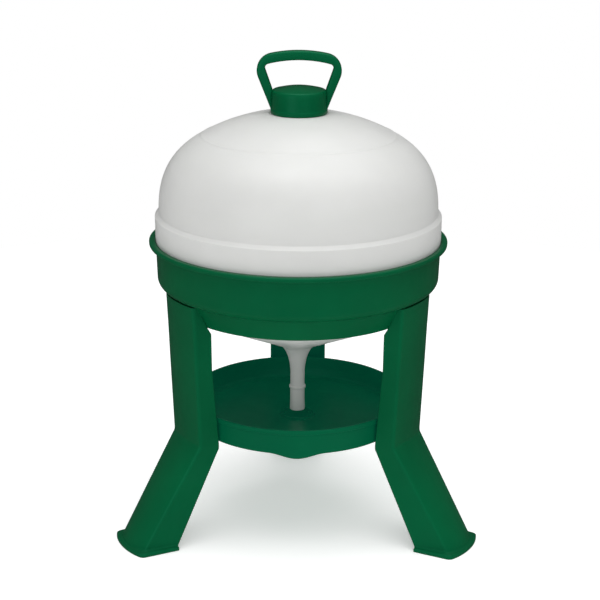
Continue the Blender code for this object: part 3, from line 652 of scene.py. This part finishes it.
def lower_line():
    """Outside of the tank from the belt down to the outlet's bead."""
    belt = rounded([(WAIST_RADIUS, WAIST_HEIGHT, 0.0), (WAIST_RADIUS + 0.0004, BELT_HEIGHT + 0.0066, 0.0026),
                    (BELT_RADIUS, BELT_HEIGHT + 0.0016, 0.0018),
                    (BELT_RADIUS - 0.0002, FLANGE_TOP + 0.0030, 0.0),
                    (BELT_RADIUS - 0.0007, FLANGE_TOP - 0.0012, 0.0030),
                    (0.1984, FLANGE_TOP - 0.0076, 0.0040), (0.1936, FLANGE_TOP - 0.0175, 0.0080),
                    (0.1924, 0.3680, 0.0)], closed=False, count=8)
    seat = arc((0.1846, 0.3646), 0.0078, 8, -90, 12)
    ring_band = [(BAND_TOP_RADIUS, BAND_TOP + 0.0004), (BAND_FOOT_RADIUS, RING_FOOT)]
    band = offset_inward(ring_band, WALL + 0.0006)
    funnel = rounded([(*band[0], 0.0), (*band[1], 0.0010), (0.1660, 0.3202, 0.0), (0.1630, 0.3182, 0.0060),
                      (0.0300, 0.2600, 0.0)], closed=False, count=8)
    trumpet = bezier((0.0300, 0.2600), (0.0186, 0.2550), (0.0114, 0.2400), (TUBE_RADIUS, 0.2160), 24)
    return belt[1:] + seat + funnel[:-1] + trumpet


def outlet_line():
    groove = BEAD_FOOT - 0.0042
    bead = rounded([(TUBE_RADIUS, BEAD_FOOT + 0.0052, 0.0),
                    (TUBE_RADIUS + 0.0001, BEAD_FOOT + 0.0042, 0.0006),
                    (BEAD_RADIUS, BEAD_FOOT + 0.0034, 0.0008), (BEAD_RADIUS, BEAD_FOOT, 0.0009),
                    (SPIGOT_RADIUS, BEAD_FOOT, 0.0)], closed=False)
    spigot = rounded([(SPIGOT_RADIUS, groove, 0.0), (0.0067, groove, 0.0), (0.0067, groove - 0.0022, 0.0),
                      (SPIGOT_RADIUS, groove - 0.0022, 0.0), (SPIGOT_RADIUS, SPIGOT_FOOT + 0.0066, 0.0),
                      (0.0085, SPIGOT_FOOT + 0.0051, 0.0005), (0.0079, SPIGOT_FOOT + 0.0034, 0.0),
                      (0.0079, SPIGOT_FOOT, 0.0004)], closed=False)
    bore = [(0.0056, SPIGOT_FOOT), (0.0056, BEAD_FOOT + 0.0090), (0.0074, 0.2060)]
    return bead + spigot + bore


def tank_outline():
    shell = dome_line()[4:] + lower_line()
    inside = offset_inward(shell, WALL)
    inside = [(radius, height) for radius, height in inside
              if radius > 0.0070 and not (radius < SEAT_EDGE and height > BELT_HEIGHT)]
    neck = rounded([(NECK_BORE, COLLAR_TOP - 0.0060, 0.0), (NECK_BORE, NECK_TOP, 0.0007),
                    (NECK_RADIUS, NECK_TOP, 0.0007), (NECK_RADIUS, COLLAR_TOP, 0.0)], closed=False)
    return neck + dome_line()[1:4] + shell + outlet_line() + list(reversed(inside))


def make_tank(material):
    thread = thread_parts(0.0320, 0.6040, 0.0014)
    parts = joined(turned_parts(tank_outline(), TURN_STEPS), thread)
    add_piece("tank_shell", parts, material, "tank", ["tank"], sharp=38.0)


# ---- cap ----------------------------------------------------------------------------------------
CAP_FOOT = cap_low.z
HANDLE_TOP = cap_high.z


def cap_outline():
    crown_top, shoulder = HANDLE_TOP - 0.0488, HANDLE_TOP - 0.0544
    roof = gasket_high.z + 0.0004
    corners = [(0.0, crown_top, 0.0)]
    for i in range(1, 8):
        radius = 0.0355 * i / 8
        corners.append((radius, crown_top - 0.0056 * (radius / 0.0365) ** 2, 0.0))
    corners += [(0.0378, shoulder, 0.0042), (0.0384, shoulder - 0.0060, 0.0030),
                (0.0389, CAP_FOOT + 0.0070, 0.0010),
                (0.0397, CAP_FOOT + 0.0050, 0.0007), (0.0397, CAP_FOOT, 0.0010), (0.0358, CAP_FOOT, 0.0008),
                (0.0350, CAP_FOOT + 0.0020, 0.0006), (0.0350, roof, 0.0), (0.0245, roof, 0.0003),
                (0.0225, roof + 0.0030, 0.0010), (0.0, crown_top - 0.0034, 0.0)]
    return rounded(corners, closed=False, count=6)


def handle_side(count_leg, count_corner, count_arch):
    """Matched outer and inner lines of the handle's right half, from its foot to its middle."""
    foot = CAP_FOOT + 0.0030
    arch_radius, arch_edge = 0.190, 0.0375
    reach = math.sqrt(arch_radius ** 2 - arch_edge ** 2)
    slope = arch_edge / reach
    edge_height = HANDLE_TOP - arch_radius + reach
    corner = (0.0676, edge_height - slope * (0.0676 - arch_edge))
    outer_foot = (0.0379, foot)
    outer_corner = fillet(outer_foot, corner, (arch_edge, edge_height), 0.0240, count_corner, share=0.99)
    outer = [tuple(outer_foot[k] + (outer_corner[0][k] - outer_foot[k]) * i / count_leg for k in (0, 1))
             for i in range(count_leg)] + outer_corner
    for i in range(1, count_arch + 1):
        x = outer_corner[-1][0] * (1 - i / count_arch)
        outer.append((x, HANDLE_TOP - arch_radius + math.sqrt(arch_radius ** 2 - x ** 2)))
    inner_radius, inner_top = 0.175, HANDLE_TOP - 0.0132
    cap_top = HANDLE_TOP - 0.0544
    inner_corner = (0.0486, inner_top - 0.0069)
    knee = (0.0366, cap_top)
    near = (0.0400, inner_top - inner_radius + math.sqrt(inner_radius ** 2 - 0.0400 ** 2))
    inner_round = fillet(knee, inner_corner, near, 0.0055, count_corner, share=0.9)
    inner = []
    for i in range(count_leg):
        height = outer[i][1]
        if height < cap_top:
            inner.append((knee[0], height))
        else:
            share = (height - cap_top) / (outer_corner[0][1] - cap_top)
            inner.append(tuple(knee[k] + (inner_round[0][k] - knee[k]) * share for k in (0, 1)))
    inner += inner_round
    for i in range(1, count_arch + 1):
        x = inner_round[-1][0] * (1 - i / count_arch)
        inner.append((x, inner_top - inner_radius + math.sqrt(inner_radius ** 2 - x ** 2)))
    return list(zip(outer, inner))


def handle_parts():
    """The carrying handle as a rounded bar through matched stations."""
    depth, rounding, sides = 0.0150, 0.0034, 5
    half = handle_side(16, 12, 12)
    stations = half + [((-o[0], o[1]), (-i[0], i[1])) for o, i in reversed(half[:-1])]
    rows = []
    for outer, inner in stations:
        outer, inner = Vector(outer), Vector(inner)
        middle = (outer + inner) / 2
        across = (outer - inner) / 2
        width = across.length
        radius = min(rounding, width * 0.92)
        row = []
        for sign_w, sign_d, start in ((1, 1, 0), (-1, 1, 90), (-1, -1, 180), (1, -1, 270)):
            centre = (sign_w * (width - radius), sign_d * (depth / 2 - radius))
            for w, d in arc(centre, radius, start, start + 90, sides):
                point = middle + across.normalized() * w
                row.append((AXIS.x + point.x, AXIS.y - d, point.y))
        rows.append(row)
    return lofted_parts(rows)


def make_cap(material):
    thread = thread_parts(0.0343, 0.6010, 0.0014)
    parts = joined(turned_parts(cap_outline(), TURN_STEPS, closed=False), handle_parts(), thread)
    add_piece("filler_cap_shell", parts, material, "filler_cap", ["filler_cap"], sharp=38.0)


# ---- outlet and seals ---------------------------------------------------------------------------
def sleeve_outline():
    top, foot = sleeve_high.z, sleeve_low.z
    web, bore = foot + 0.0136, 0.0084
    corners = [(0.0100, top, 0.0004), (0.0105, top - 0.0008, 0.0004), (0.0105, foot + 0.0160, 0.0300),
               (0.0111, foot + 0.0012, 0.0006), (0.0108, foot, 0.0006), (0.0092, foot, 0.0006),
               (0.0084, web - 0.0030, 0.0), (0.0044, web - 0.0030, 0.0), (0.0044, web, 0.0),
               (bore, web, 0.0), (bore, top, 0.0)]
    return rounded(corners)


def web_parts(low, high):
    """The web inside the sleeve: a core and two bridges that leave two ports."""
    rows = []
    outline = []
    for start in (0.0, 180.0):
        outline += arc((0.0, 0.0), 0.0046, start - 55.0, start + 55.0, 17)
        turn = math.radians(start + 90)
        outline.append((0.0010 * math.cos(turn), 0.0010 * math.sin(turn)))
    for height in (low, high):
        rows.append([(x, y, height) for x, y in outline])
    return lofted_parts(rows)


def make_outlet(material, rubber):
    web = sleeve_low.z + 0.0136
    parts = joined(turned_parts(sleeve_outline(), SMALL_STEPS), placed(web_parts(web - 0.0030, web), 0.0))
    add_piece("outlet_sleeve_shell", parts, material, "outlet_sleeve", ["outlet_sleeve"])
    middle = (seal_low.z + seal_high.z) / 2
    outer, inner = (seal_high.x - seal_low.x) / 2, 0.0070
    ring = [(outer + inner) / 2, middle]
    section = [(ring[0] + (outer - inner) / 2 * math.cos(math.radians(a)),
                middle + 0.0007 * math.sin(math.radians(a)))
               for a in range(0, 360, 24)]
    add_piece("outlet_seal_ring", turned_parts(section, SMALL_STEPS), rubber, "tank", ["outlet_seal"])


def make_gasket(rubber):
    low, high, outer, inner = gasket_low.z, gasket_high.z, (gasket_high.x - gasket_low.x) / 2, 0.0272
    edge = 0.0005
    outline = rounded([(outer, high, edge), (outer, low, edge), (inner, low, edge), (inner, high, edge)])
    add_piece("cap_gasket_ring", turned_parts(outline, SMALL_STEPS), rubber, "cap_gasket", ["cap_gasket"])


# ---- stage --------------------------------------------------------------------------------------
FLOOR_RADIUS = 1.6
FLOOR_GLOW = 0.36
SURROUND_SOFT = 0.48
SURROUND_GLOSSY = 0.06
# name: (place, aimed at, size, watts)
LIGHTS = {"overhead": ((0.2, -0.2, 2.6), (0.0, 0.0, 0.3), (3.2, 3.2), 41.0),
          "strip": ((0.0, -0.35, 2.3), (0.0, -0.1, 0.5), (1.3, 0.6), 7.0),
          "key": ((1.1, -2.6, 1.2), (0.0, 0.0, 0.3), (2.0, 1.6), 10.0),
          "fill": ((-1.3, -2.5, 0.7), (0.0, 0.0, 0.25), (1.8, 1.0), 12.0)}
LENS = 94.7
CAMERA_DISTANCE = 2.266
CAMERA_ELEVATION = 17.26
CAMERA_ROLL = 0.36
CAMERA_TARGET = Vector((0.003, AXIS.y, 0.324))


def make_floor():
    mesh = bpy.data.meshes.new("floor")
    rim = arc((0.0, AXIS.y), FLOOR_RADIUS, 0.0, 357.0, 120)
    mesh.from_pydata([(x, y, 0.0) for x, y in rim], [], [tuple(range(len(rim)))])
    floor = bpy.data.objects.new("floor", mesh)
    bpy.context.scene.collection.objects.link(floor)
    nodes = Nodes("floor_paper")
    nodes.set(Base_Color=(0.93, 0.93, 0.93), Roughness=0.9, Specular_IOR_Level=0.0,
              Emission_Color=(1.0, 1.0, 1.0), Emission_Strength=FLOOR_GLOW)
    mesh.materials.append(nodes.material)
    floor.visible_glossy = False


def make_world():
    world = bpy.data.worlds.new("studio")
    bpy.context.scene.world = world
    world.use_nodes = True
    tree = world.node_tree
    tree.nodes.clear()
    output = tree.nodes.new("ShaderNodeOutputWorld")
    mix = tree.nodes.new("ShaderNodeMixShader")
    path = tree.nodes.new("ShaderNodeLightPath")
    surround = tree.nodes.new("ShaderNodeBackground")
    backdrop = tree.nodes.new("ShaderNodeBackground")
    surround.inputs["Color"].default_value = (1.0, 1.0, 1.0, 1.0)
    dimmer = tree.nodes.new("ShaderNodeMapRange")
    dimmer.inputs["To Min"].default_value = SURROUND_SOFT
    dimmer.inputs["To Max"].default_value = SURROUND_GLOSSY
    tree.links.new(path.outputs["Is Glossy Ray"], dimmer.inputs["Value"])
    tree.links.new(dimmer.outputs["Result"], surround.inputs["Strength"])
    backdrop.inputs["Color"].default_value = (1.0, 1.0, 1.0, 1.0)
    backdrop.inputs["Strength"].default_value = 1.0
    tree.links.new(path.outputs["Is Camera Ray"], mix.inputs["Fac"])
    tree.links.new(surround.outputs["Background"], mix.inputs[1])
    tree.links.new(backdrop.outputs["Background"], mix.inputs[2])
    tree.links.new(mix.outputs["Shader"], output.inputs["Surface"])


def add_light(name, location, target, size, power):
    data = bpy.data.lights.new(name, "AREA")
    data.shape = "RECTANGLE"
    data.size, data.size_y = size
    data.energy = power
    light = bpy.data.objects.new(name, data)
    light.location = location
    direction = Vector(target) - Vector(location)
    light.rotation_euler = direction.to_track_quat("-Z", "Y").to_euler()
    bpy.context.scene.collection.objects.link(light)


def make_lights():
    for name, (place, target, size, power) in LIGHTS.items():
        add_light(name, place, target, size, power)


def make_camera():
    data = bpy.data.cameras.new("camera")
    data.sensor_width = 36.0
    data.lens = LENS
    camera = bpy.data.objects.new("camera", data)
    elevation = math.radians(CAMERA_ELEVATION)
    backward = Vector((0.0, -math.cos(elevation), math.sin(elevation)))
    camera.location = CAMERA_TARGET + CAMERA_DISTANCE * backward
    aim = (CAMERA_TARGET - camera.location).to_track_quat("-Z", "Y")
    roll = Matrix.Rotation(math.radians(CAMERA_ROLL), 4, "Z")
    camera.rotation_euler = (aim.to_matrix().to_4x4() @ roll).to_euler()
    bpy.context.scene.collection.objects.link(camera)
    bpy.context.scene.camera = camera
    bpy.context.scene.view_settings.view_transform = "Standard"


# ---- the object ---------------------------------------------------------------------------------
GREEN = (0.0003, 0.091, 0.031)
# Emission colour of the painted fill light on the shaded rear leg and tray.
PAINTED_FILL_GREEN = (0.0003, 0.70, 0.42)
WHITE = (0.66, 0.665, 0.65)

make_ring(green_plastic("green_shell", GREEN, 0.36))
make_legs(green_plastic("green_legs", GREEN, 0.38),
          # Rear leg and tray: the green darkened, plus a painted fill glow so their shaded parts read
          # brighter.
          green_plastic("green_rear_leg_painted_fill", scaled(GREEN, 0.80), 0.38, 0.040))
make_tray(green_plastic("green_tray_painted_fill", scaled(GREEN, 0.80), 0.34, 0.034))
make_cap(green_plastic("green_cap", GREEN, 0.34))
make_tank(tank_plastic("milky_tank", WHITE, 0.34, 0.35))
soft_black = black_rubber("soft_black")
make_outlet(tank_plastic("milky_outlet", scaled(WHITE, 0.97), 0.34, 0.25), soft_black)
make_gasket(soft_black)
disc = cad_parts["port_disc"]
disc.data.materials.clear()
disc.data.materials.append(tank_plastic("milky_disc", WHITE, 0.42, 0.1))
make_floor()
make_world()
make_lights()
make_camera()
